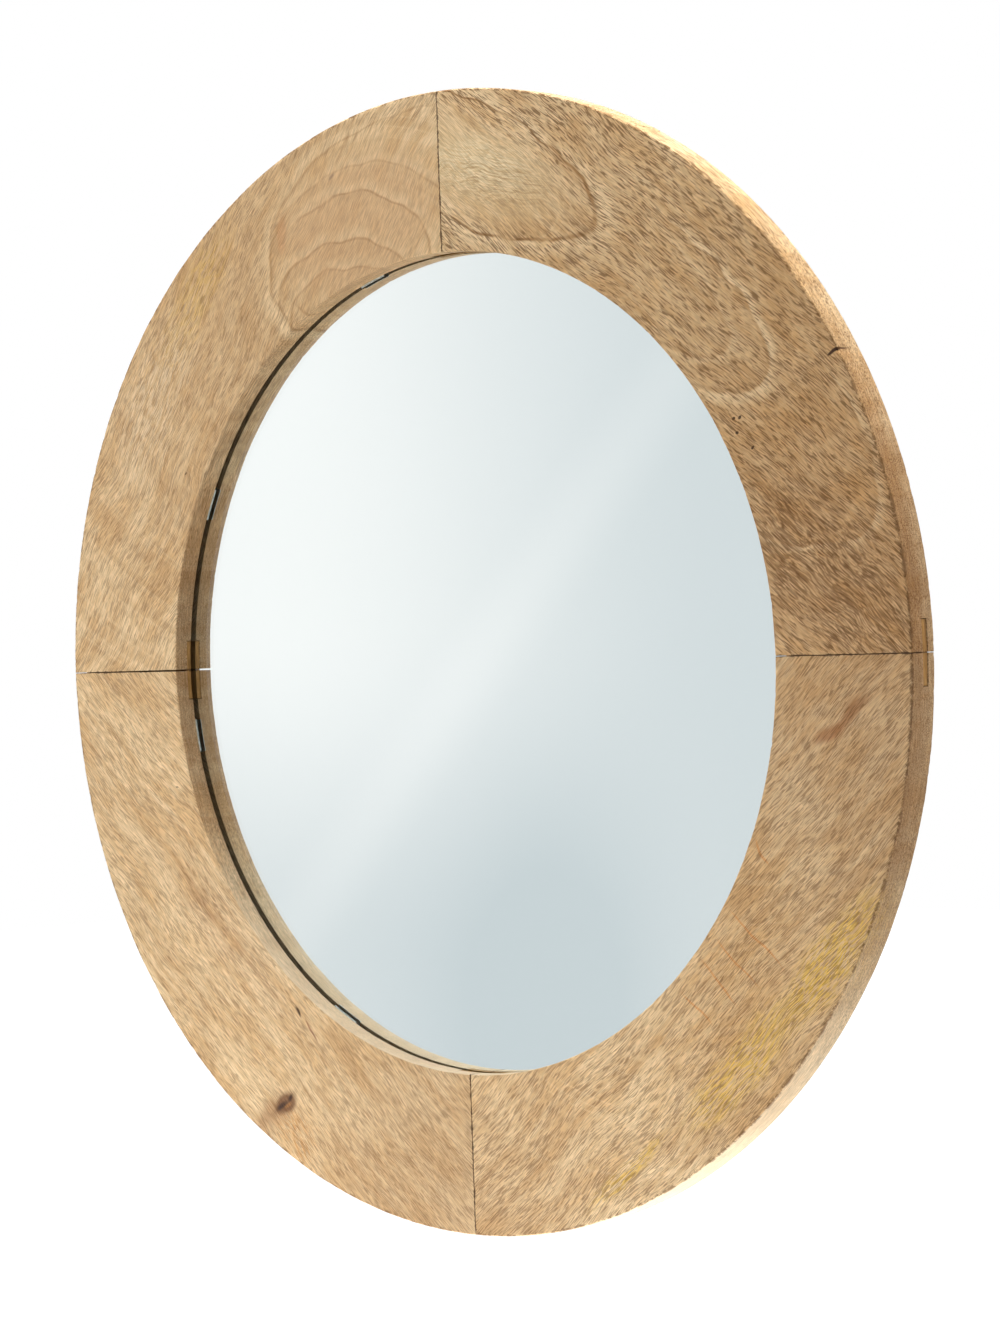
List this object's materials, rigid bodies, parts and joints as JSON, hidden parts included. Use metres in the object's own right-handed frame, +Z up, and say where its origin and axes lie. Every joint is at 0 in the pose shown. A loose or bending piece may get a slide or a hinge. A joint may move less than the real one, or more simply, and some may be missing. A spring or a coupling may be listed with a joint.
{
  "type": "round wall mirror",
  "caption": "Round wall mirror: a flat wood ring of splined quarter segments around a recessed silvered pane, with a backing board and swinging loop hangers.",
  "frame": {"origin": "ring's centre on the wall plane that the bumpers touch", "axes": "+Z up, +X to the right seen from the front, the mirror faces -Y and +Y points into the wall"},
  "size_m": [0.6, 0.024, 0.6],
  "materials": {
    "wood_top_right": "planed and lightly oiled",
    "wood_top_left": "planed and lightly oiled",
    "wood_bottom_left": "planed and lightly oiled",
    "wood_bottom_right": "planed and lightly oiled",
    "spline_wood": "sawn, glued in",
    "clear_glass": "polished float glass",
    "silver": "silvered and painted on the back",
    "fibreboard": "sanded medium-density fibreboard",
    "plated_steel": "zinc plated",
    "pad_plastic": "translucent self-adhesive pad",
    "packer_rubber": "matt",
    "bumper_rubber": "matt"
  },
  "bodies": {
    "mirror": {"frame_quarter_top_right": "wood_top_right", "frame_quarter_top_left": "wood_top_left", "frame_quarter_bottom_left": "wood_bottom_left", "frame_quarter_bottom_right": "wood_bottom_right", "spline_top": "spline_wood", "spline_right": "spline_wood", "spline_bottom": "spline_wood", "spline_left": "spline_wood", "mirror_glass": "clear_glass", "mirror_silvering": "silver", "backing_board": "fibreboard", "backing_screws": "plated_steel", "glass_pads": "pad_plastic", "glass_edge_packers": "packer_rubber", "hanger_strap_left": "plated_steel", "hanger_strap_right": "plated_steel", "hanger_screws": "plated_steel", "wall_bumpers": "bumper_rubber"},
    "left_loop": {"hanger_loop_left": "plated_steel"},
    "right_loop": {"hanger_loop_right": "plated_steel"}
  },
  "joints": [
    {"name": "left_loop_swing", "type": "hinge", "parent": "mirror", "child": "left_loop", "pos_m": [-0.15, -0.0034, 0.2281], "axis": [1, 0, 0], "range_deg": [0, 180]},
    {"name": "right_loop_swing", "type": "hinge", "parent": "mirror", "child": "right_loop", "pos_m": [0.15, -0.0034, 0.2281], "axis": [1, 0, 0], "range_deg": [0, 180]}
  ]
}
